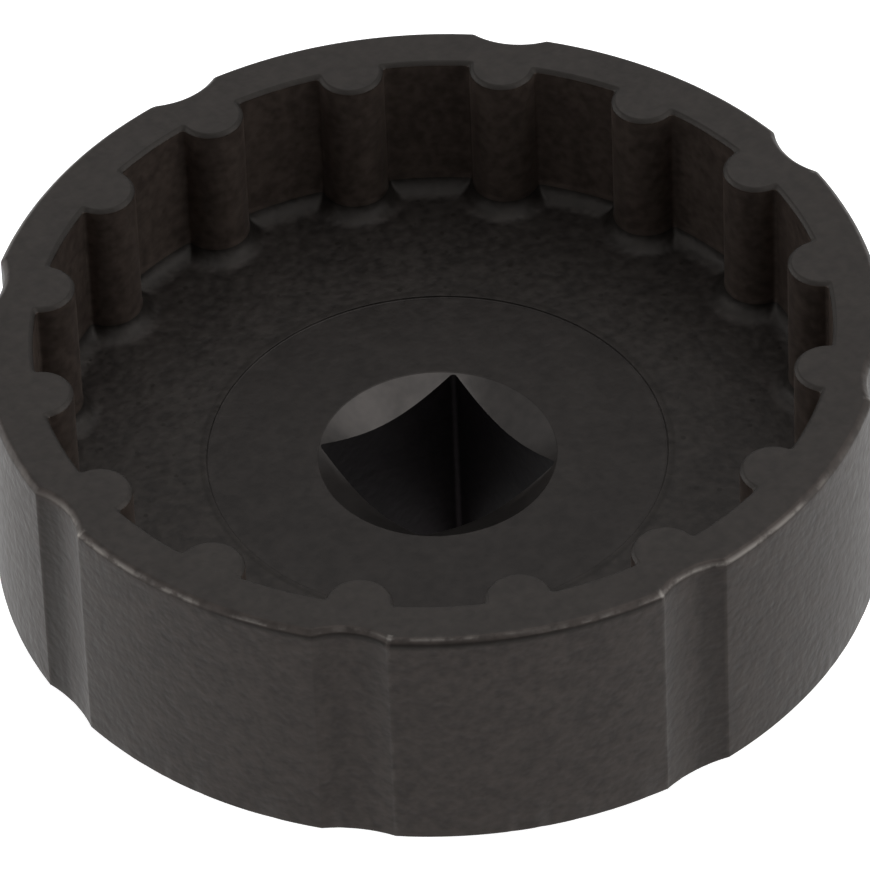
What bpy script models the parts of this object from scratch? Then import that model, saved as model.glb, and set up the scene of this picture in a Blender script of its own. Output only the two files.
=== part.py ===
"""Bottom bracket socket: a shallow toothed cup on a square-drive boss, in one piece of steel.

It fits over a notched bearing cup and is turned by a square drive. Lengths are in metres and
angles in radians. The origin is the centre of the drive end's face. +Z runs up the axis to the
mouth of the cup, and X and Y are square to the flats of the drive hole.
"""
import math

import bmesh
import bpy

MM = 0.001

# The bearing cup that the socket turns
BEARING_CUP_DIAMETER = 44.0 * MM
BEARING_CUP_NOTCHES = 16
FIT_CLEARANCE = 0.3 * MM

# The head, which is the toothed cup
WALL_THICKNESS = 2.9 * MM
POCKET_DEPTH = 9.55 * MM
WEB_THICKNESS = 5.6 * MM
TOOTH_RADIUS = 1.9 * MM
FIRST_TOOTH_ANGLE = math.radians(-2.4)
POCKET_FILLET = 1.1 * MM
MOUTH_CHAMFER = 0.2 * MM
RIM_BEVEL = 0.32 * MM
UNDERSIDE_BEVEL = 0.15 * MM

# The flutes on the outside of the head, which are shallower towards its base
FLUTE_COUNT = 8
FLUTE_WIDTH = 4.16 * MM
FLUTE_DEPTH_AT_RIM = 0.64 * MM
FLUTE_DEPTH_AT_BASE = 0.35 * MM

# The boss under the head
BOSS_DIAMETER = 26.0 * MM
BOSS_HEIGHT = 9.0 * MM
BOSS_FILLET = 1.0 * MM
BOSS_CHAMFER = 0.8 * MM

# The square drive hole, with a countersink at each end and a spot face round the upper one
DRIVE_ACROSS_FLATS = 9.55 * MM
DRIVE_CORNER_RADIUS = 0.3 * MM
COUNTERSINK_SLOPE = math.radians(30)
COUNTERSINK_MARGIN = 0.15 * MM
LEAD_IN_MARGIN = 0.1 * MM
SPOT_FACE_DIAMETER = 26.0 * MM
SPOT_FACE_DEPTH = 0.15 * MM

# How finely round forms are divided, and how far a cutter runs past the steel
HEAD_STEPS = 128
BORE_STEPS = 64
FLUTE_STEPS = 14
TOOTH_STEPS = 12
GAP_STEPS = 4
FILLET_STEPS = 5
CORNER_STEPS = 4
OVERRUN = 1.0 * MM
SMOOTH_ANGLE = math.radians(25)

# Sizes that follow from those above
ROOT_RADIUS = BEARING_CUP_DIAMETER / 2 + FIT_CLEARANCE
HEAD_RADIUS = ROOT_RADIUS + WALL_THICKNESS
TOOTH_PITCH = math.tau / BEARING_CUP_NOTCHES
HEAD_BASE = BOSS_HEIGHT
FLOOR = HEAD_BASE + WEB_THICKNESS
RIM = FLOOR + POCKET_DEPTH
DRIVE_CORNER_CIRCLE = (
    (DRIVE_ACROSS_FLATS / 2 - DRIVE_CORNER_RADIUS) * math.sqrt(2) + DRIVE_CORNER_RADIUS
)


def clear_scene():
    """Remove the objects that the scene starts with."""
    for obj in list(bpy.data.objects):
        bpy.data.objects.remove(obj, do_unlink=True)


def new_collection(name):
    """Return a new collection under the scene's own."""
    made = bpy.data.collections.new(name)
    bpy.context.scene.collection.children.link(made)
    return made


def arc(centre, radius, start, end, steps):
    """Return the points of a plane arc from one angle to the other."""
    angles = [start + (end - start) * k / steps for k in range(steps + 1)]
    return [
        (centre[0] + radius * math.cos(a), centre[1] + radius * math.sin(a)) for a in angles
    ]


def turned(name, profile, steps, collection):
    """Turn a profile of (radius, height) points, listed from top to bottom, about Z."""
    mesh = bpy.data.meshes.new(name)
    points = [(radius, 0.0, height) for radius, height in profile]
    mesh.from_pydata(points, [(k, k + 1) for k in range(len(points) - 1)], [])
    obj = bpy.data.objects.new(name, mesh)
    collection.objects.link(obj)
    screw = obj.modifiers.new("turn", "SCREW")
    screw.steps = steps
    screw.render_steps = steps
    screw.use_merge_vertices = True
    screw.merge_threshold = 0.001 * MM
    return obj


def lofted(name, sections, collection):
    """Skin closed outlines of equal point counts, listed from bottom to top, with flat ends."""
    shell = bmesh.new()
    rings = [
        [shell.verts.new((x, y, height)) for x, y in outline] for height, outline in sections
    ]
    shell.faces.new(reversed(rings[0]))
    shell.faces.new(rings[-1])
    for lower, upper in zip(rings, rings[1:]):
        for k in range(len(lower)):
            shell.faces.new((lower[k - 1], lower[k], upper[k], upper[k - 1]))
    mesh = bpy.data.meshes.new(name)
    shell.to_mesh(mesh)
    shell.free()
    obj = bpy.data.objects.new(name, mesh)
    collection.objects.link(obj)
    return obj


def toothed_outline(inset):
    """Return the pocket's outline, moved in by inset: half-round teeth on the root circle.

    A tooth is an arc about a point of the root circle, and the gap between two teeth is an arc
    about the axis. They meet where the two circles cross.
    """
    tooth = TOOTH_RADIUS + inset
    gap = ROOT_RADIUS - inset
    corner = math.acos((ROOT_RADIUS**2 + gap**2 - tooth**2) / (2 * ROOT_RADIUS * gap))
    height = gap * math.sin(corner)
    turn = math.atan2(height, gap * math.cos(corner) - ROOT_RADIUS)
    outline = []
    for index in range(BEARING_CUP_NOTCHES):
        angle = FIRST_TOOTH_ANGLE + index * TOOTH_PITCH
        centre = (ROOT_RADIUS * math.cos(angle), ROOT_RADIUS * math.sin(angle))
        # The tooth's arc runs over its tip, on the side of the axis
        start = angle - turn
        end = angle + turn - math.tau
        outline += arc(centre, tooth, start, end, TOOTH_STEPS)[:-1]
        gap_start = angle + corner
        gap_end = angle + TOOTH_PITCH - corner
        outline += arc((0.0, 0.0), gap, gap_start, gap_end, GAP_STEPS)[:-1]
    return outline


def square_outline():
    """Return the drive hole's square outline, with its corners rounded."""
    reach = DRIVE_ACROSS_FLATS / 2 - DRIVE_CORNER_RADIUS
    outline = []
    for quarter, (x, y) in enumerate(((1, 1), (-1, 1), (-1, -1), (1, -1))):
        start = quarter * math.pi / 2
        outline += arc(
            (x * reach, y * reach), DRIVE_CORNER_RADIUS, start, start + math.pi / 2, CORNER_STEPS
        )
    return outline


def blank(collection):
    """Turn the solid blank: the head's rim, wall and underside, and the boss."""
    boss_radius = BOSS_DIAMETER / 2
    head = [
        (0.0, RIM),
        (HEAD_RADIUS - RIM_BEVEL, RIM),
        (HEAD_RADIUS, RIM - RIM_BEVEL),
        (HEAD_RADIUS, HEAD_BASE + UNDERSIDE_BEVEL),
        (HEAD_RADIUS - UNDERSIDE_BEVEL, HEAD_BASE),
    ]
    fillet_centre = (boss_radius + BOSS_FILLET, HEAD_BASE - BOSS_FILLET)
    fillet = arc(fillet_centre, BOSS_FILLET, math.pi / 2, math.pi, FILLET_STEPS)
    boss = [
        (boss_radius, BOSS_CHAMFER),
        (boss_radius - BOSS_CHAMFER, 0.0),
        (0.0, 0.0),
    ]
    return turned("socket_body", head + fillet + boss, HEAD_STEPS, collection)


def pocket_cutter(collection):
    """Loft the toothed pocket: a filleted floor, straight teeth and a chamfered mouth."""
    sections = []
    for k in range(FILLET_STEPS + 1):
        angle = math.pi / 2 * (1 - k / FILLET_STEPS)
        height = FLOOR + POCKET_FILLET * (1 - math.sin(angle))
        sections.append((height, toothed_outline(POCKET_FILLET * (1 - math.cos(angle)))))
    sections.append((RIM - MOUTH_CHAMFER, toothed_outline(0.0)))
    flare = MOUTH_CHAMFER + OVERRUN / 2
    sections.append((RIM + OVERRUN / 2, toothed_outline(-flare)))
    return lofted("pocket_cutter", sections, collection)


def flute_section(depth, growth):
    """Return the outline of a flute's cutter on the +X side, grown outwards by growth.

    The arc meets the head's wall at the flute's width, and runs on past it into the open.
    """
    half = FLUTE_WIDTH / 2
    rise = depth - HEAD_RADIUS + math.sqrt(HEAD_RADIUS**2 - half**2)
    radius = (half**2 + rise**2) / (2 * rise)
    centre = (HEAD_RADIUS - depth + radius, 0.0)
    reach = math.asin((half + OVERRUN) / radius)
    inner = arc(centre, radius + growth, math.pi - reach, math.pi + reach, FLUTE_STEPS)
    outside = HEAD_RADIUS + 3 * OVERRUN
    return [(outside, inner[-1][1]), (outside, inner[0][1])] + inner


def flute_cutters(collection):
    """Loft a tapered bar that flares at both ends, and set one beside every second tooth."""
    base = FLUTE_DEPTH_AT_BASE
    rim = FLUTE_DEPTH_AT_RIM
    sections = [
        (HEAD_BASE - OVERRUN, flute_section(base, UNDERSIDE_BEVEL + OVERRUN)),
        (HEAD_BASE + UNDERSIDE_BEVEL, flute_section(base, 0.0)),
        (RIM - RIM_BEVEL, flute_section(rim, 0.0)),
        (RIM + OVERRUN, flute_section(rim, RIM_BEVEL + OVERRUN)),
    ]
    cutters = []
    for index in range(FLUTE_COUNT):
        cutter = lofted(f"flute_cutter_{index + 1}", sections, collection)
        cutter.rotation_euler.z = FIRST_TOOTH_ANGLE + index * math.tau / FLUTE_COUNT
        cutters.append(cutter)
    return cutters


def facing_cutter(collection):
    """Turn the tool that spot-faces the floor and countersinks the drive hole."""
    seat = FLOOR - SPOT_FACE_DEPTH
    sink = DRIVE_CORNER_CIRCLE + COUNTERSINK_MARGIN
    profile = [
        (0.0, FLOOR + OVERRUN),
        (SPOT_FACE_DIAMETER / 2, FLOOR + OVERRUN),
        (SPOT_FACE_DIAMETER / 2, seat),
        (sink, seat),
        (0.0, seat - sink * math.tan(COUNTERSINK_SLOPE)),
    ]
    return turned("facing_cutter", profile, BORE_STEPS, collection)


def lead_in_cutter(collection):
    """Turn the countersink that leads the drive into the boss."""
    sink = DRIVE_CORNER_CIRCLE + LEAD_IN_MARGIN
    profile = [
        (0.0, sink),
        (sink + OVERRUN, -OVERRUN),
        (0.0, -OVERRUN),
    ]
    return turned("lead_in_cutter", profile, BORE_STEPS, collection)


def drive_cutter(collection):
    """Make the square bar that broaches the drive hole right through."""
    outline = square_outline()
    ends = [(-OVERRUN, outline), (FLOOR + OVERRUN, outline)]
    return lofted("drive_cutter", ends, collection)


def cut(body, cutter):
    """Take one cutter out of the body."""
    cutter.hide_render = True
    cutter.display_type = "WIRE"
    boolean = body.modifiers.new(cutter.name, "BOOLEAN")
    boolean.operation = "DIFFERENCE"
    boolean.solver = "EXACT"
    boolean.object = cutter


def bake_cuts(body):
    """Give the body the mesh that its modifiers make, shaded smooth between its edges."""
    graph = bpy.context.evaluated_depsgraph_get()
    mesh = bpy.data.meshes.new_from_object(body.evaluated_get(graph))
    mesh.name = body.name
    body.modifiers.clear()
    body.data = mesh
    mesh.shade_smooth()
    mesh.set_sharp_from_angle(angle=SMOOTH_ANGLE)


def black_oxide_steel():
    """Return the material of the blasted and blackened steel."""
    material = bpy.data.materials.new("black_oxide_steel")
    material.use_nodes = True
    shader = material.node_tree.nodes["Principled BSDF"]
    shader.inputs["Base Color"].default_value = (0.045, 0.043, 0.040, 1.0)
    shader.inputs["Metallic"].default_value = 0.6
    shader.inputs["Roughness"].default_value = 0.55
    return material


def build():
    """Build the socket."""
    clear_scene()
    parts = new_collection("bottom_bracket_socket")
    cutters = new_collection("cutters")
    body = blank(parts)
    cut(body, pocket_cutter(cutters))
    for cutter in flute_cutters(cutters):
        cut(body, cutter)
    cut(body, facing_cutter(cutters))
    cut(body, lead_in_cutter(cutters))
    cut(body, drive_cutter(cutters))
    bake_cuts(body)
    body.data.materials.clear()
    body.data.materials.append(black_oxide_steel())


build()
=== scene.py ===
"""The looks of the bottom bracket socket: its blackened steel, a white floor, lights and a camera.

Lengths are in metres and angles in radians. The socket is one piece of steel, so one mesh stands
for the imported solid. It is a skin over rings of points that run right round the section: out over
the drive end, up the outside, over the rim, down the toothed pocket and back down the drive hole.
"""

import math

import bpy
import numpy as np
from mathutils import Matrix, Vector, noise


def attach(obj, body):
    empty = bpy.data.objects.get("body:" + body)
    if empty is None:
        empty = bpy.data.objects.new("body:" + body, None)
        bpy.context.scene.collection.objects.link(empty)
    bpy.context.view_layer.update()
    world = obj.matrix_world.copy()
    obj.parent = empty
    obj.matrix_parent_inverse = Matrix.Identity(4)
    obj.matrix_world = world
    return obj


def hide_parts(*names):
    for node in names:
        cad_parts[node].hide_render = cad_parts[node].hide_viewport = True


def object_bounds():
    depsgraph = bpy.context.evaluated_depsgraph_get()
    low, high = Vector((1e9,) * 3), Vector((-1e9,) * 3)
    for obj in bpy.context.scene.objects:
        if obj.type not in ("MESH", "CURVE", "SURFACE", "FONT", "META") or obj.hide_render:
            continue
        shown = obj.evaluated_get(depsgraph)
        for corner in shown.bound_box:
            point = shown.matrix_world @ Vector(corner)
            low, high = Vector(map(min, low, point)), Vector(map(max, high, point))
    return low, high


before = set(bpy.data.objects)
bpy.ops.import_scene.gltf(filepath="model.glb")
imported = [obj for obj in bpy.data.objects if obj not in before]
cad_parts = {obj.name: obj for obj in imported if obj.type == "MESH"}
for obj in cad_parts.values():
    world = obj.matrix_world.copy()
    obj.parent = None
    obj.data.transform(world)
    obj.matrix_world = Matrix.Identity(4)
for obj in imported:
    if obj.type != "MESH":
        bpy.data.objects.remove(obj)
cad_low, cad_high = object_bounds()

MM = 0.001

# The toothed pocket
TOOTH_COUNT = 16
ROOT_RADIUS = 22.3 * MM
TOOTH_RADIUS = 1.9 * MM
TOOTH_CORNER_RADIUS = 0.22 * MM
FIRST_TOOTH_ANGLE = math.radians(-2.4)
POCKET_DEPTH = 9.55 * MM
POCKET_FILLET = 1.1 * MM
MOUTH_CHAMFER = 0.2 * MM
MOUTH_ROUNDING = 0.12 * MM

# The head and its flutes, which are shallower towards its base
WALL_THICKNESS = 2.9 * MM
WEB_THICKNESS = 5.6 * MM
RIM_BEVEL = 0.32 * MM
RIM_ROUNDING = 0.28 * MM
UNDERSIDE_BEVEL = 0.15 * MM
UNDERSIDE_ROUNDING = 0.12 * MM
FLUTE_WIDTH = 4.16 * MM
FLUTE_DEPTH_AT_RIM = 0.64 * MM
FLUTE_DEPTH_AT_BASE = 0.35 * MM
FLUTE_EDGE_RADIUS = 0.25 * MM
FLUTE_EDGE_MARGIN = 0.12 * MM

# The boss and the square drive
BOSS_RADIUS = 13.0 * MM
BOSS_FILLET = 1.0 * MM
BOSS_CHAMFER = 0.8 * MM
BOSS_ROUNDING = 0.15 * MM
DRIVE_ACROSS_FLATS = 9.55 * MM
DRIVE_CORNER_RADIUS = 0.3 * MM
DRIVE_EDGE = 0.02 * MM
COUNTERSINK_SLOPE = math.radians(30)
COUNTERSINK_MARGIN = 0.15 * MM
LEAD_IN_SLOPE = math.radians(-45)
LEAD_IN_MARGIN = 0.1 * MM
CONE_ROUNDING = 0.06 * MM
SPOT_FACE_RADIUS = 13.0 * MM
SPOT_FACE_DEPTH = 0.15 * MM
SPOT_FACE_ROUNDING = 0.05 * MM

# A bevel shorter than this is rounded right across, and heights closer than a hair count as one
BEVEL_LIMIT = 0.6 * MM
HAIR = 0.01 * MM

# A rounding's steps, and the flank beside it that keeps the next face flat
ROUNDING_STEPS = 2
ROUNDING_STEPS_PER_MM = 4
FLANK_SHARE = 0.3
FLANK_LIMIT = 0.1 * MM

# How much edges are worn bright or lit by a painted highlight, or below zero darkened by painted
# shade
MOUTH_SHADE = -0.45
MOUTH_SHADE_TURN = 0.5
FOOT_SHADE = -0.62
UNDERSIDE_WEAR = 0.3
SEAT_WEAR_AND_HIGHLIGHT = 0.03
STEP_SHADE = -0.5
FLUTE_HIGHLIGHT = 0.16
FLUTE_SHADE = -0.55
FLUTE_RIM_HIGHLIGHT = 0.8

# Where the painted shadow under the rim's bevel ends, and how far up the foot of the pocket's wall
# its painted shade runs
LIP = 0.4 * MM
FOOT_FROM = 0.1 * MM
FOOT_TO = 0.9 * POCKET_FILLET

# The rings beside the spot face's step, outside it with a painted shadow and inside it with a
# painted highlight: how far off, and how strong
STEP_SHADOW_RINGS = ((0.5 * MM, 0.0), (0.35 * MM, STEP_SHADE))
SEAT_HIGHLIGHT_RINGS = ((0.2 * MM, SEAT_WEAR_AND_HIGHLIGHT), (0.32 * MM, SEAT_WEAR_AND_HIGHLIGHT), (0.5 * MM, 0.0))

# The painted highlight line on the rim's bevel and its painted shadow: where the line runs, as a
# share of the way up from a little below the bevel, and how they fade as the turn from the front
# grows
LINE_FROM = -0.1 * MM
LINE_AT_FRONT = 0.72
LINE_AT_SIDES = 0.4
LINE_WIDTH = 0.17
SIDES_FROM = math.radians(40)
LINE_FADE = (np.radians([0, 50, 64, 110]), [1.0, 0.9, 0.2, 0.2])
LIP_FADE = (np.radians([0, 22, 34]), [1.0, 0.9, 0.0])

# Points round half a tooth pitch, on the pocket's outline and then on the outside. Both add up to
# the same, and a flute's arc has enough to take in a whole tooth, so that the rim doesn't fold.
LOBE_STEPS = 12
CORNER_STEPS = 4
GAP_STEPS = 8
FLUTE_STEPS = 14
FLUTE_EDGE_STEPS = 4
PLAIN_STEPS = 6
WALL_STEPS = 6
HOLE_STEPS = 4

# The step from a flute's middle at which the painted shade in its hollow is as dark as it gets
HOLLOW_FROM = 5

# Where rings cross a flat face or a cone, as shares of the way over it
RIM_SHARES = (0.12, 0.5, 0.88)
FLOOR_SHARES = (0.04, 0.2, 0.4, 0.6, 0.8, 0.96)
SEAT_SHARES = (0.04, 0.3, 0.65, 0.95)
UNDERSIDE_SHARES = (0.06, 0.5, 0.94)
LEAD_IN_SHARES = (0.5, 1.0)
COUNTERSINK_SHARES = (1.0, 0.7, 0.4)

# The unevenness of the blasted surface, and the nicks in worn edges
WAVE_SIZE = 5.0 * MM
WAVE_DEPTH = 0.012 * MM
NICK_SIZE = 0.8 * MM
NICK_DEPTH = 0.14 * MM
NICK_FROM = 0.2

# The finishes in the order of the skin's materials: the oxide's dark and light colour, its
# roughness, how metallic it is, how strong its grain is and how pitted it is
OUTSIDE, TOP, POCKET, FACED, MACHINED, BROACHED, TOOTHED = range(7)
FINISHES = {
    "outside_steel": ((0.0160, 0.0130, 0.0115), (0.0290, 0.0237, 0.0210), 0.5, 0.6, 0.6, 0.15),
    "top_steel": ((0.0150, 0.0128, 0.0115), (0.0225, 0.0192, 0.0173), 0.5, 0.6, 0.4, 0.1),
    "pocket_steel": ((0.0100, 0.0085, 0.0077), (0.0220, 0.0190, 0.0172), 0.52, 0.6, 0.6, 0.6),
    "faced_steel": ((0.0110, 0.0093, 0.0085), (0.0180, 0.0155, 0.0142), 0.5, 0.6, 0.4, 0.15),
    "machined_steel": ((0.0260, 0.0240, 0.0230), (0.0330, 0.0300, 0.0285), 0.3, 0.8, 0.04, 0.0),
    "broached_steel": ((0.0060, 0.0045, 0.0050), (0.0100, 0.0075, 0.0085), 0.6, 1.0, 0.3, 0.0),
    "toothed_steel": ((0.0800, 0.0620, 0.0530), (0.1280, 0.1000, 0.0850), 0.36, 0.85, 0.3, 0.1),
}
OXIDE_SHINE = 0.25

# The grain: broad clouds and fine specks, mixed into the oxide's colour, its sheen and its bumps
CLOUD = {"Scale": 600.0, "Detail": 4.0, "Roughness": 0.65}
SPECK = {"Scale": 1700.0, "Detail": 1.0, "Roughness": 0.5}
CLOUD_SHARE = 0.45
OXIDE_RANGE = (0.36, 0.64)
SHEEN_SPREAD = 0.25
GRAIN_DEPTH = 0.13 * MM

# Worn edges and painted highlights are bare in patches, painted shade fills the lips, hollows and
# corners, and the pits are dark
WEAR_AND_HIGHLIGHT = 0.6
BARE_AND_HIGHLIGHT_STEEL = (0.14, 0.13, 0.12)
PATCH_RANGE = (0.44, 0.56)
PATCH_LEAST = 0.1
SHADE_STRENGTH = 0.9
SHADE_AND_PIT_STEEL = (0.004, 0.003, 0.002)
PIT_SCALE = 1300.0
PIT_SIZE = 0.2
PIT_SHARE = 0.3

# The lighting: each softbox's turn from the camera and its elevation in degrees, and its power.
# The surround's own light is dim, and the floor adds a glow to the light on it, to look white.
SOFTBOXES = {
    "front_left": (-50.0, 20.0, 0.20),
    "left": (-80.0, 20.0, 0.52),
    "back_left": (-110.0, 12.0, 0.66),
    "front_right": (50.0, 20.0, 0.28),
    "right": (80.0, 20.0, 0.92),
    "high_front": (0.0, 55.0, 0.08),
    "high_right": (60.0, 55.0, 0.22),
    "high_back_right": (110.0, 54.0, 0.42),
    "high_back": (180.0, 55.0, 0.17),
    "top": (0.0, 88.0, 0.45),
}
SOFTBOX_SIZE = 0.25
SOFTBOX_DISTANCE = 0.45
SURROUND = 0.03
FLOOR_SIZE = 4.0
FLOOR_COLOUR = (0.8, 0.8, 0.8)
FLOOR_GLOW = 0.84

# The camera, fitted to the photograph
CAMERA_AZIMUTH = math.radians(-35.48)
CAMERA_ELEVATION = math.radians(43.12)
CAMERA_ROLL = math.radians(-2.36)
CAMERA_DISTANCE = 585.7 * MM
CAMERA_RIGHT = 0.149 * MM
CAMERA_UP = -6.06 * MM
SENSOR_WIDTH = 36.0
LENS = 434.65

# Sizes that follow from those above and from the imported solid
FRONT = CAMERA_AZIMUTH - math.pi / 2
HEAD_RADIUS = ROOT_RADIUS + WALL_THICKNESS
RIM = cad_high.z
FLOOR = RIM - POCKET_DEPTH
SEAT = FLOOR - SPOT_FACE_DEPTH
HEAD_BASE = FLOOR - WEB_THICKNESS
PITCH = math.tau / TOOTH_COUNT
CORNER_CIRCLE = (
    (DRIVE_ACROSS_FLATS / 2 - DRIVE_CORNER_RADIUS) * math.sqrt(2) + DRIVE_CORNER_RADIUS
)
COUNTERSINK_RADIUS = CORNER_CIRCLE + COUNTERSINK_MARGIN
LEAD_IN_RADIUS = CORNER_CIRCLE + LEAD_IN_MARGIN
POINTS = 2 * TOOTH_COUNT * (LOBE_STEPS + CORNER_STEPS + GAP_STEPS)
EVEN_ANGLES = FIRST_TOOTH_ANGLE - PITCH / 2 + np.arange(POINTS) * math.tau / POINTS


def arc(centre, radius, start, end, steps):
    """Return steps + 1 points of an arc, as rows of x and y."""
    angles = np.linspace(start, end, steps + 1)
    x = centre[0] + radius * np.cos(angles)
    y = centre[1] + radius * np.sin(angles)
    return np.column_stack([x, y])


def apex_angle(far, near, side):
    """Return the angle at the axis between sides far and near of a triangle."""
    return math.acos((far**2 + near**2 - side**2) / (2 * far * near))


def pocket_half_pitch(growth):
    """Return the pocket's outline from a tooth's tip to the middle of the gap beside it."""
    lobe = TOOTH_RADIUS - growth
    root = ROOT_RADIUS + growth
    near = root - TOOTH_CORNER_RADIUS
    turn = apex_angle(ROOT_RADIUS, near, lobe + TOOTH_CORNER_RADIUS)
    corner = (near * math.cos(turn), near * math.sin(turn))
    lobe_end = math.atan2(corner[1], corner[0] - ROOT_RADIUS)
    return np.concatenate([
        arc((ROOT_RADIUS, 0.0), lobe, math.pi, lobe_end, LOBE_STEPS)[:-1],
        arc(corner, TOOTH_CORNER_RADIUS, lobe_end - math.pi, turn, CORNER_STEPS)[:-1],
        arc((0.0, 0.0), root, turn, PITCH / 2, GAP_STEPS),
    ])


def flute_depth(height):
    """Return how deep the flutes are at a height."""
    low = HEAD_BASE + UNDERSIDE_BEVEL
    high = RIM - RIM_BEVEL
    share = min(max((height - low) / (high - low), 0.0), 1.0)
    return FLUTE_DEPTH_AT_BASE + share * (FLUTE_DEPTH_AT_RIM - FLUTE_DEPTH_AT_BASE)


def fluted_half_pitch(growth, depth):
    """Return the outside from the middle of a flute to halfway between two teeth."""
    half = FLUTE_WIDTH / 2
    rise = depth - HEAD_RADIUS + math.sqrt(HEAD_RADIUS**2 - half**2)
    radius = (half**2 + rise**2) / (2 * rise)
    outer = HEAD_RADIUS + growth
    flute = radius - growth
    distance = HEAD_RADIUS - depth + radius
    near = outer - FLUTE_EDGE_RADIUS
    turn = apex_angle(distance, near, flute + FLUTE_EDGE_RADIUS)
    edge = (near * math.cos(turn), near * math.sin(turn))
    flute_end = math.atan2(edge[1], edge[0] - distance)
    plain = turn + FLUTE_EDGE_MARGIN / HEAD_RADIUS
    return np.concatenate([
        arc((distance, 0.0), flute, math.pi, flute_end, FLUTE_STEPS)[:-1],
        arc(edge, FLUTE_EDGE_RADIUS, flute_end - math.pi, turn, FLUTE_EDGE_STEPS),
        arc((0.0, 0.0), outer, plain, PITCH / 2, PLAIN_STEPS - 1),
    ])


def plain_half_pitch(growth, depth):
    """Return the outside beside a tooth with no flute, its points at a fluted one's angles."""
    fluted = fluted_half_pitch(growth, depth)
    angles = np.arctan2(fluted[:, 1], fluted[:, 0])
    return (HEAD_RADIUS + growth) * np.column_stack([np.cos(angles), np.sin(angles)])


def whole_outline(halves):
    """Mirror each half pitch about its tooth, and set them round the axis in turn."""
    points = []
    for index in range(TOOTH_COUNT):
        half = halves[index % len(halves)]
        pitch = np.concatenate([half[:0:-1] * (1, -1), half[:-1]])
        angle = FIRST_TOOTH_ANGLE + index * PITCH
        along = np.array([math.cos(angle), math.sin(angle)])
        across = np.array([-math.sin(angle), math.cos(angle)])
        points.append(pitch[:, :1] * along + pitch[:, 1:] * across)
    return np.concatenate(points)


def pocket_outline(growth):
    """Return the toothed outline, moved out by growth."""
    return whole_outline([pocket_half_pitch(growth)])


def outside_outline(growth, height):
    """Return the fluted outline at a height, moved out by growth."""
    depth = flute_depth(height)
    return whole_outline([fluted_half_pitch(growth, depth), plain_half_pitch(growth, depth)])


def circle_outline(radius):
    """Return a circle with its points evenly spaced."""
    return np.column_stack([radius * np.cos(EVEN_ANGLES), radius * np.sin(EVEN_ANGLES)])


def drive_wall():
    """Return how far the drive hole's wall is from the axis at each even angle."""
    half = DRIVE_ACROSS_FLATS / 2
    inner = half - DRIVE_CORNER_RADIUS
    folded = np.abs((EVEN_ANGLES + math.pi / 4) % (math.pi / 2) - math.pi / 4)
    along = inner * (np.cos(folded) + np.sin(folded))
    across = inner * (np.cos(folded) - np.sin(folded))
    corner = along + np.sqrt(np.maximum(DRIVE_CORNER_RADIUS**2 - across**2, 0.0))
    return np.where(half * np.tan(folded) <= inner, half / np.cos(folded), corner)


def rounded(corners):
    """Round the corners of a profile of (across, height, radius) points.

    The steel is on the left of the way the profile runs, and its end points only lead into it.
    Returns (across, height, edge) rows, where edge is 1 on an outer corner and 0 elsewhere.
    """
    made = []
    for last, (x, z, radius), following in zip(corners, corners[1:], corners[2:]):
        if radius == 0.0:
            made.append((x, z, 0))
            continue
        here = Vector((x, z))
        before = (Vector(last[:2]) - here).normalized()
        after = (Vector(following[:2]) - here).normalized()
        half = before.angle(after) / 2
        reach = radius / math.tan(half)
        flank = min(FLANK_SHARE * radius, FLANK_LIMIT)
        centre = here + (before + after).normalized() * radius / math.sin(half)
        start = here + before * reach - centre
        end = here + after * reach - centre
        sweep = -start.angle_signed(end)
        steps = ROUNDING_STEPS + round(ROUNDING_STEPS_PER_MM * radius / MM)
        if (Vector(last[:2]) - here).length > BEVEL_LIMIT:
            made.append((*(here + before * (reach + flank)), 0))
        for k in range(steps + 1):
            spoke = start.copy()
            spoke.rotate(Matrix.Rotation(sweep * k / steps, 2))
            made.append((*(centre + spoke), 1 if sweep > 0 else 0))
        if (Vector(following[:2]) - here).length > BEVEL_LIMIT:
            made.append((*(here + after * (reach + flank)), 0))
    return made


def ring(points, height, edge, finish):
    """Return one ring of the skin: its points, its wear and painted light, and its finish."""
    heights = np.broadcast_to(height, len(points))
    return np.column_stack([points, heights]), edge, finish


def rings_of(outline, corners, finish, wear_and_light=1.0):
    """Return the rings of a profile that runs across and along an outline."""
    return [ring(outline(x), z, edge * wear_and_light, finish) for x, z, edge in rounded(corners)]


def wall_points(start, end):
    """Return the points of a straight wall between two heights, its ends left out."""
    return [(0.0, start + (end - start) * k / WALL_STEPS, 0.0) for k in range(1, WALL_STEPS)]


def rings_between(first, second, shares):
    """Return rings that cross a flat face from one ring to another, with the first's finish."""
    start, _, finish = first
    end, _, _ = second
    return [(start + (end - start) * share, 0, finish) for share in shares]


def cone_ring(radius, mouth_radius, mouth_height, slope):
    """Return a ring on a cone that falls inward from its mouth at a slope."""
    height = mouth_height - math.tan(slope) * (mouth_radius - radius)
    return ring(circle_outline(radius), height, 0, MACHINED)


def lead_in_rings():
    """Return the cone that leads the drive in, from the hole's wall out to the drive end."""
    wall = drive_wall()
    mouth = LEAD_IN_RADIUS - CONE_ROUNDING
    radii = [wall, wall + DRIVE_EDGE] + [wall + (mouth - wall) * k for k in LEAD_IN_SHARES]
    return [cone_ring(radius, LEAD_IN_RADIUS, 0.0, LEAD_IN_SLOPE) for radius in radii]


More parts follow.
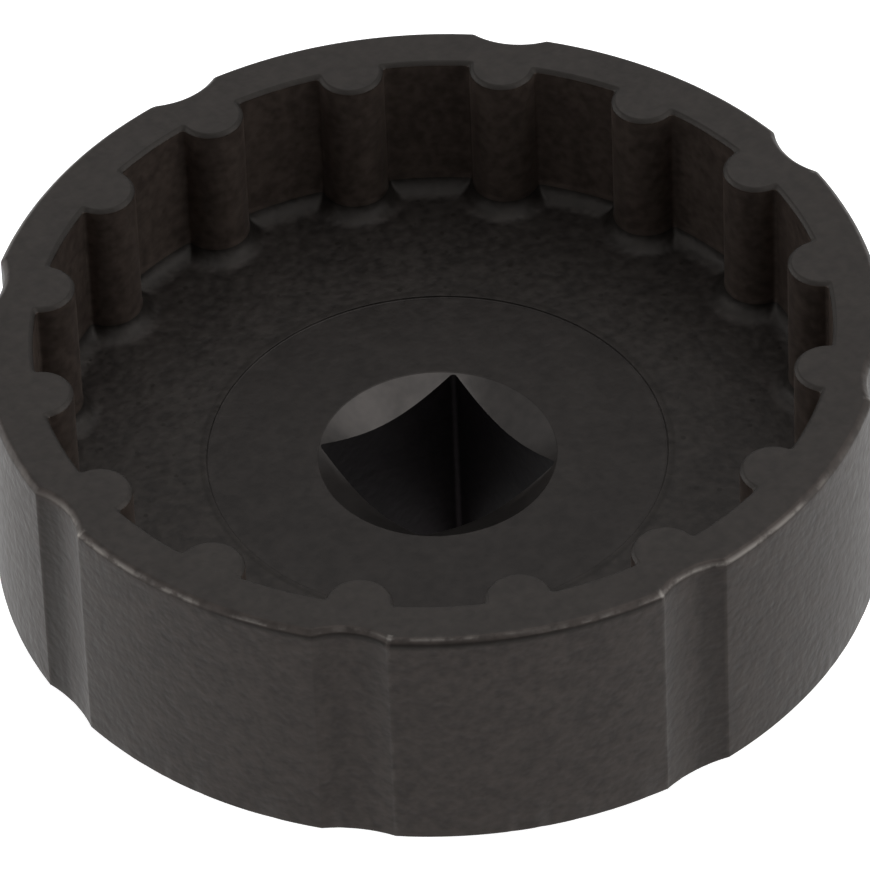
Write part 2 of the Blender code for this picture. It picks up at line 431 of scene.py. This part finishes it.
def drive_end_rings():
    """Return the boss: its end face, chamfer, wall and the fillet under the head."""
    return rings_of(circle_outline, [
        (LEAD_IN_RADIUS - MM, MM, 0.0),
        (LEAD_IN_RADIUS, 0.0, CONE_ROUNDING),
        (BOSS_RADIUS - BOSS_CHAMFER, 0.0, BOSS_ROUNDING),
        (BOSS_RADIUS, BOSS_CHAMFER, BOSS_ROUNDING),
        *[(BOSS_RADIUS, z, 0.0) for _, z, _ in wall_points(BOSS_CHAMFER, HEAD_BASE - BOSS_FILLET)],
        (BOSS_RADIUS, HEAD_BASE, BOSS_FILLET),
        (HEAD_RADIUS, HEAD_BASE, 0.0),
    ], OUTSIDE, UNDERSIDE_WEAR)


def rim_highlight_and_shadow(height):
    """Return the painted highlight on the rim's bevel, or below zero its painted shadow, round a
    ring.

    The painted highlight runs as a bright line high on the bevel at the front, with the painted
    shadow of a dark lip under it, and lower down towards the sides, where it fades.
    """
    turn = np.abs((EVEN_ANGLES - FRONT + math.pi) % math.tau - math.pi)
    up = (height - RIM + RIM_BEVEL - LINE_FROM) / (RIM_BEVEL - LINE_FROM)
    line = LINE_AT_FRONT + (LINE_AT_SIDES - LINE_AT_FRONT) * np.clip(turn / SIDES_FROM, 0.0, 1.0)
    highlight = np.exp(-(((up - line) / LINE_WIDTH) ** 2)) * np.interp(turn, *LINE_FADE)
    lip_shadow = np.clip((line - up) / LINE_WIDTH - 1.0, 0.0, 1.0) * np.interp(turn, *LIP_FADE)
    return highlight - lip_shadow


def flute_highlight_and_shade(wear_and_light, painted_shade):
    """Return the painted highlight and painted shade on the flutes, round a ring.

    The edge nearer to the front gets a painted highlight, and the half hollow away from it painted
    shade, most of all on the flutes to the sides.
    """
    steps = np.arange(LOBE_STEPS + CORNER_STEPS + GAP_STEPS + 1)
    edge = wear_and_light * (np.abs(steps - FLUTE_STEPS - FLUTE_EDGE_STEPS / 2) <= FLUTE_EDGE_STEPS / 2)
    marks = [0, HOLLOW_FROM, FLUTE_STEPS - 1, FLUTE_STEPS]
    hollow = painted_shade * np.interp(steps, marks, [0.0, 1.0, 1.0, 0.0])
    pitches = []
    for index in range(TOOTH_COUNT):
        away = (FRONT - FIRST_TOOTH_ANGLE - index * PITCH + math.pi) % math.tau - math.pi
        darkened = hollow * min(abs(away) / SIDES_FROM, 1.0) ** 2
        before, after = (darkened, edge) if away > 0 else (edge, darkened)
        fluted = 1 - index % 2
        pitches += [before[:0:-1] * fluted, after[:-1] * fluted]
    return np.concatenate(pitches)


def outside_rings():
    """Return the head's underside, fluted wall and bevelled rim."""
    profile = rounded([
        (-MM, HEAD_BASE, 0.0),
        (-UNDERSIDE_BEVEL, HEAD_BASE, UNDERSIDE_ROUNDING),
        (0.0, HEAD_BASE + UNDERSIDE_BEVEL, UNDERSIDE_ROUNDING),
        *wall_points(HEAD_BASE + UNDERSIDE_BEVEL, RIM - RIM_BEVEL),
        (0.0, RIM - RIM_BEVEL - LIP, 0.0),
        (0.0, RIM - RIM_BEVEL, RIM_ROUNDING),
        (-RIM_BEVEL, RIM, RIM_ROUNDING),
        (-MM, RIM, 0.0),
    ])
    rings = []
    # The rim's rounding takes a painted highlight and painted shadow, the flutes a painted
    # highlight and painted shade, and the underside plain wear
    for x, z, edge in profile:
        if edge and z > FLOOR:
            wear_and_light = rim_highlight_and_shadow(z) + flute_highlight_and_shade(FLUTE_RIM_HIGHLIGHT, 0.0)
        elif x == 0.0:
            wear_and_light = flute_highlight_and_shade(FLUTE_HIGHLIGHT, FLUTE_SHADE)
        else:
            wear_and_light = UNDERSIDE_WEAR * edge
        finish = TOP if z > RIM - HAIR else OUTSIDE
        rings.append(ring(outside_outline(x, z), z, wear_and_light, finish))
    return rings


def pocket_rings():
    """Return the toothed pocket: its mouth, straight teeth, and the fillet round its floor."""
    mouth_and_teeth = rounded([
        (MM, RIM, 0.0),
        (MOUTH_CHAMFER, RIM, MOUTH_ROUNDING),
        (0.0, RIM - MOUTH_CHAMFER, MOUTH_ROUNDING),
        *wall_points(RIM - MOUTH_CHAMFER, FLOOR + POCKET_FILLET),
        (0.0, FLOOR, POCKET_FILLET),
        (-2 * POCKET_FILLET, FLOOR, 0.0),
    ])
    # The chamfer gets painted shade, darkest on the side across from the camera
    mouth_shade = MOUTH_SHADE * (1.0 - MOUTH_SHADE_TURN * np.cos(EVEN_ANGLES - FRONT))
    rings = []
    for x, z, edge in mouth_and_teeth:
        foot = FOOT_FROM < z - FLOOR < FOOT_TO
        if z > RIM - MOUTH_CHAMFER:
            finish = TOP
        elif z > FLOOR + POCKET_FILLET:
            finish = TOOTHED
        else:
            finish = POCKET
        # The foot of the wall gets painted shade all round, and the mouth's chamfer its painted
        # shade
        rings.append(ring(pocket_outline(x), z, FOOT_SHADE if foot else mouth_shade * edge, finish))
    return rings


def step_rings():
    """Return the edge of the step down to the spot face, with a painted shadow on it and round it.
    """
    edge = rings_of(circle_outline, [
        (ROOT_RADIUS, FLOOR, 0.0),
        (SPOT_FACE_RADIUS, FLOOR, SPOT_FACE_ROUNDING),
        (SPOT_FACE_RADIUS, SEAT, 0.0),
    ], POCKET, STEP_SHADE)
    outer = [
        ring(circle_outline(SPOT_FACE_RADIUS + width), FLOOR, painted_shade, POCKET)
        for width, painted_shade in STEP_SHADOW_RINGS
    ]
    return outer + edge


def seat_rings():
    """Return the spot face, from the foot of its step in to the countersink's mouth."""
    foot = rings_of(circle_outline, [
        (SPOT_FACE_RADIUS, FLOOR, 0.0),
        (SPOT_FACE_RADIUS, SEAT, SPOT_FACE_ROUNDING),
        (COUNTERSINK_RADIUS, SEAT, 0.0),
    ], FACED)
    # A painted highlight runs in a light line round the foot of the step
    foot += [
        ring(circle_outline(SPOT_FACE_RADIUS - width), SEAT, wear_and_light, FACED)
        for width, wear_and_light in SEAT_HIGHLIGHT_RINGS
    ]
    mouth = rings_of(circle_outline, [
        (SPOT_FACE_RADIUS, SEAT, 0.0),
        (COUNTERSINK_RADIUS, SEAT, CONE_ROUNDING),
        (COUNTERSINK_RADIUS - MM, SEAT - MM * math.tan(COUNTERSINK_SLOPE), 0.0),
    ], FACED, SEAT_WEAR_AND_HIGHLIGHT)
    return foot + rings_between(foot[-1], mouth[0], SEAT_SHARES) + mouth


def drive_hole_rings():
    """Return the countersink down to the hole's edge, and the hole's wall below it."""
    wall = drive_wall()
    mouth = COUNTERSINK_RADIUS - CONE_ROUNDING
    radii = [wall + (mouth - wall) * k for k in COUNTERSINK_SHARES] + [wall + DRIVE_EDGE, wall]
    rings = [cone_ring(radius, COUNTERSINK_RADIUS, SEAT, COUNTERSINK_SLOPE) for radius in radii]
    top = SEAT - math.tan(COUNTERSINK_SLOPE) * (COUNTERSINK_RADIUS - wall) - DRIVE_EDGE
    bottom = LEAD_IN_RADIUS - wall + DRIVE_EDGE
    for k in range(HOLE_STEPS + 1):
        height = top + (bottom - top) * k / HOLE_STEPS
        rings.append(ring(circle_outline(wall), height, 0, BROACHED))
    return rings


def skin(name, rings):
    """Join each ring to the next and the last to the first, and return the closed mesh."""
    corners = np.concatenate([points for points, _, _ in rings])
    own = np.arange(POINTS)
    beside = np.roll(own, -1)
    faces = []
    for k in range(len(rings)):
        here = k * POINTS
        there = (k + 1) % len(rings) * POINTS
        faces.append(np.column_stack([here + own, here + beside, there + beside, there + own]))
    mesh = bpy.data.meshes.new(name)
    mesh.from_pydata(corners.tolist(), [], np.concatenate(faces).tolist())
    finishes = np.repeat([finish for _, _, finish in rings], POINTS)
    mesh.polygons.foreach_set("material_index", finishes)
    # The edge attribute holds edge wear and painted highlight above zero, and painted shade below
    # zero
    edges = mesh.attributes.new("edge", "FLOAT", "POINT")
    worn = [np.broadcast_to(edge, POINTS) for _, edge, _ in rings]
    edges.data.foreach_set("value", np.concatenate(worn))
    mesh.shade_smooth()
    return mesh


def roughen(mesh):
    """Sink the surface a little here and there, as blasted and handled steel is."""
    count = len(mesh.vertices)
    places = np.empty(count * 3)
    normals = np.empty(count * 3)
    edges = np.empty(count)
    mesh.vertices.foreach_get("co", places)
    mesh.vertices.foreach_get("normal", normals)
    mesh.attributes["edge"].data.foreach_get("value", edges)
    places = places.reshape(-1, 3)
    normals = normals.reshape(-1, 3)
    wave = np.array([noise.noise(Vector(place) / WAVE_SIZE) for place in places])
    nick = np.array([noise.noise(Vector(place) / NICK_SIZE) for place in places])
    depth = WAVE_DEPTH * (1 + wave)
    depth += NICK_DEPTH * np.clip(nick - NICK_FROM, 0, 1) * np.clip(edges, 0, 1)
    mesh.vertices.foreach_set("co", (places - normals * depth[:, None]).ravel())
    mesh.update()


def node(tree, kind, **values):
    """Add a node and set its sockets or properties by name."""
    made = tree.nodes.new(kind)
    for key, value in values.items():
        if key in made.inputs:
            made.inputs[key].default_value = value
        else:
            setattr(made, key, value)
    return made


def math_node(tree, operation, first, second):
    """Return the output of a Math node on two sockets or numbers."""
    made = node(tree, "ShaderNodeMath", operation=operation)
    for socket, value in zip(made.inputs, (first, second)):
        if isinstance(value, bpy.types.NodeSocket):
            tree.links.new(value, socket)
        else:
            socket.default_value = value
    return made.outputs[0]


def ramp(tree, factor, positions, colours):
    """Return the colour of a ramp from one colour to another between two positions."""
    made = tree.nodes.new("ShaderNodeValToRGB")
    for element, position, colour in zip(made.color_ramp.elements, positions, colours):
        element.position = position
        element.color = (*colour, 1.0)
    tree.links.new(factor, made.inputs["Fac"])
    return made.outputs["Color"]


def covered(tree, under, over, share):
    """Return a colour with another laid over it, by the share that a socket gives."""
    mix = node(tree, "ShaderNodeMix", data_type="RGBA", clamp_factor=True)
    # A Mix node has sockets for each kind of data, and these are the factor and the two colours
    factor, first, second = (mix.inputs[k] for k in (0, 6, 7))
    tree.links.new(share, factor)
    tree.links.new(under, first)
    second.default_value = (*over, 1.0)
    return mix.outputs[2]


def pits(tree, place):
    """Return 1 in small scattered pits and 0 elsewhere."""
    cells = node(tree, "ShaderNodeTexVoronoi", Scale=PIT_SCALE)
    tree.links.new(place, cells.inputs["Vector"])
    inside = math_node(tree, "LESS_THAN", cells.outputs["Distance"], PIT_SIZE)
    chosen = math_node(tree, "GREATER_THAN", cells.outputs["Color"], 1.0 - PIT_SHARE)
    return math_node(tree, "MULTIPLY", inside, chosen)


def blackened_steel(name, dark, light, roughness, metallic, grain, pitting):
    """Return blasted steel under a black oxide, mottled between two colours."""
    material = bpy.data.materials.new(name)
    material.use_nodes = True
    tree = material.node_tree
    link = tree.links.new
    shader = tree.nodes["Principled BSDF"]
    place = node(tree, "ShaderNodeTexCoord").outputs["Object"]
    cloud = node(tree, "ShaderNodeTexNoise", **CLOUD)
    speck = node(tree, "ShaderNodeTexNoise", **SPECK)
    link(place, cloud.inputs["Vector"])
    link(place, speck.inputs["Vector"])
    mottle = math_node(tree, "MULTIPLY", cloud.outputs["Fac"], CLOUD_SHARE)
    flecks = math_node(tree, "MULTIPLY", speck.outputs["Fac"], 1.0 - CLOUD_SHARE)
    mixed = math_node(tree, "ADD", mottle, flecks)
    oxide = ramp(tree, mixed, OXIDE_RANGE, (dark, light))
    # Outer corners rub bare in patches, and painted highlights take the same bare colour
    edge = node(tree, "ShaderNodeAttribute", attribute_name="edge").outputs["Fac"]
    patches = ramp(tree, cloud.outputs["Fac"], PATCH_RANGE, ((PATCH_LEAST,) * 3, (1.0,) * 3))
    rubbed_and_lit = math_node(tree, "MULTIPLY", edge, patches)
    rubbed_and_lit = math_node(tree, "MULTIPLY", rubbed_and_lit, WEAR_AND_HIGHLIGHT)
    bare_and_lit = covered(tree, oxide, BARE_AND_HIGHLIGHT_STEEL, rubbed_and_lit)
    # Painted shade darkens the lips, hollows and corners, and the pits are darkened too
    painted_shade = math_node(tree, "MULTIPLY", edge, -SHADE_STRENGTH)
    pitted = math_node(tree, "MULTIPLY", pits(tree, place), pitting)
    darkened = covered(tree, bare_and_lit, SHADE_AND_PIT_STEEL, math_node(tree, "MAXIMUM", painted_shade, pitted))
    link(darkened, shader.inputs["Base Color"])
    sheen = math_node(tree, "MULTIPLY", speck.outputs["Fac"], SHEEN_SPREAD * grain)
    sheen = math_node(tree, "ADD", sheen, roughness - SHEEN_SPREAD / 2 * grain)
    link(sheen, shader.inputs["Roughness"])
    shader.inputs["Metallic"].default_value = metallic
    shader.inputs["Specular IOR Level"].default_value = OXIDE_SHINE
    bump = node(tree, "ShaderNodeBump", Strength=grain, Distance=GRAIN_DEPTH)
    link(mixed, bump.inputs["Height"])
    link(bump.outputs["Normal"], shader.inputs["Normal"])
    return material


def add_socket():
    """Build the socket's skin on the part's body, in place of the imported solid."""
    boss = drive_end_rings()
    outside = outside_rings()
    pocket = pocket_rings()
    step = step_rings()
    mesh = skin("socket_skin", (
        lead_in_rings() + boss
        + rings_between(boss[-1], outside[0], UNDERSIDE_SHARES) + outside
        + rings_between(outside[-1], pocket[0], RIM_SHARES) + pocket
        + rings_between(pocket[-1], step[0], FLOOR_SHARES) + step
        + seat_rings() + drive_hole_rings()
    ))
    roughen(mesh)
    for name, finish in FINISHES.items():
        mesh.materials.append(blackened_steel(name, *finish))
    piece = bpy.data.objects.new("socket_skin", mesh)
    bpy.context.collection.objects.link(piece)
    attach(piece, "root")
    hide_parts("socket_body")


def seen_rays(tree):
    """Return 1 for the rays that see a white surround: the camera's, mirrored or through glass."""
    path = tree.nodes.new("ShaderNodeLightPath").outputs
    bounced = math_node(tree, "MAXIMUM", path["Is Glossy Ray"], path["Is Transmission Ray"])
    return math_node(tree, "MAXIMUM", path["Is Camera Ray"], bounced)


def add_floor():
    """Lay a white floor under the socket, which keeps its shadow faintly."""
    bpy.ops.mesh.primitive_plane_add(size=FLOOR_SIZE)
    floor = bpy.context.object
    floor.name = "floor"
    material = bpy.data.materials.new("white_floor")
    material.use_nodes = True
    tree = material.node_tree
    tree.nodes.clear()
    matt = node(tree, "ShaderNodeBsdfDiffuse", Color=(*FLOOR_COLOUR, 1.0))
    glow = node(tree, "ShaderNodeEmission")
    both = node(tree, "ShaderNodeAddShader")
    out = node(tree, "ShaderNodeOutputMaterial")
    strength = math_node(tree, "MULTIPLY", seen_rays(tree), FLOOR_GLOW)
    tree.links.new(strength, glow.inputs["Strength"])
    tree.links.new(matt.outputs[0], both.inputs[0])
    tree.links.new(glow.outputs[0], both.inputs[1])
    tree.links.new(both.outputs[0], out.inputs["Surface"])
    floor.data.materials.append(material)


def add_world(level):
    """Show a white surround to the camera and in reflections, but light the rest at a level."""
    world = bpy.data.worlds.new("white_world")
    bpy.context.scene.world = world
    world.use_nodes = True
    tree = world.node_tree
    background = tree.nodes["Background"]
    background.inputs["Color"].default_value = (1.0, 1.0, 1.0, 1.0)
    extra = math_node(tree, "MULTIPLY", seen_rays(tree), 1.0 - level)
    tree.links.new(math_node(tree, "ADD", extra, level), background.inputs["Strength"])


def direction(azimuth, elevation):
    """Return the unit vector from the socket towards a place, as the camera's angles give it."""
    return Vector((
        math.sin(azimuth) * math.cos(elevation),
        -math.cos(azimuth) * math.cos(elevation),
        math.sin(elevation),
    ))


def add_softbox(name, side, elevation, power):
    """Hang a square lamp that faces the socket, side being its turn from the camera."""
    lamp = bpy.data.lights.new(name, "AREA")
    lamp.size = SOFTBOX_SIZE
    lamp.energy = power
    box = bpy.data.objects.new(name, lamp)
    bpy.context.collection.objects.link(box)
    away = direction(CAMERA_AZIMUTH + math.radians(side), math.radians(elevation))
    box.location = Vector((0.0, 0.0, RIM)) + away * SOFTBOX_DISTANCE
    box.rotation_mode = "QUATERNION"
    box.rotation_quaternion = away.to_track_quat("Z", "Y")


def add_camera():
    """Set the camera where the photograph was taken from."""
    data = bpy.data.cameras.new("camera")
    data.sensor_width = SENSOR_WIDTH
    data.lens = LENS
    camera = bpy.data.objects.new("camera", data)
    bpy.context.collection.objects.link(camera)
    back = direction(CAMERA_AZIMUTH, CAMERA_ELEVATION)
    level = Vector((0.0, 0.0, 1.0)).cross(back).normalized()
    rise = back.cross(level)
    right = level * math.cos(CAMERA_ROLL) + rise * math.sin(CAMERA_ROLL)
    up = rise * math.cos(CAMERA_ROLL) - level * math.sin(CAMERA_ROLL)
    place = Vector((0.0, 0.0, RIM)) + back * CAMERA_DISTANCE
    place += right * CAMERA_RIGHT + up * CAMERA_UP
    turn = Matrix((right, up, back)).transposed()
    camera.matrix_world = Matrix.Translation(place) @ turn.to_4x4()
    bpy.context.scene.camera = camera


add_camera()
add_socket()
add_floor()
add_world(SURROUND)
for name, (side, elevation, power) in SOFTBOXES.items():
    add_softbox(name, side, elevation, power)
bpy.context.scene.view_settings.view_transform = "Standard"
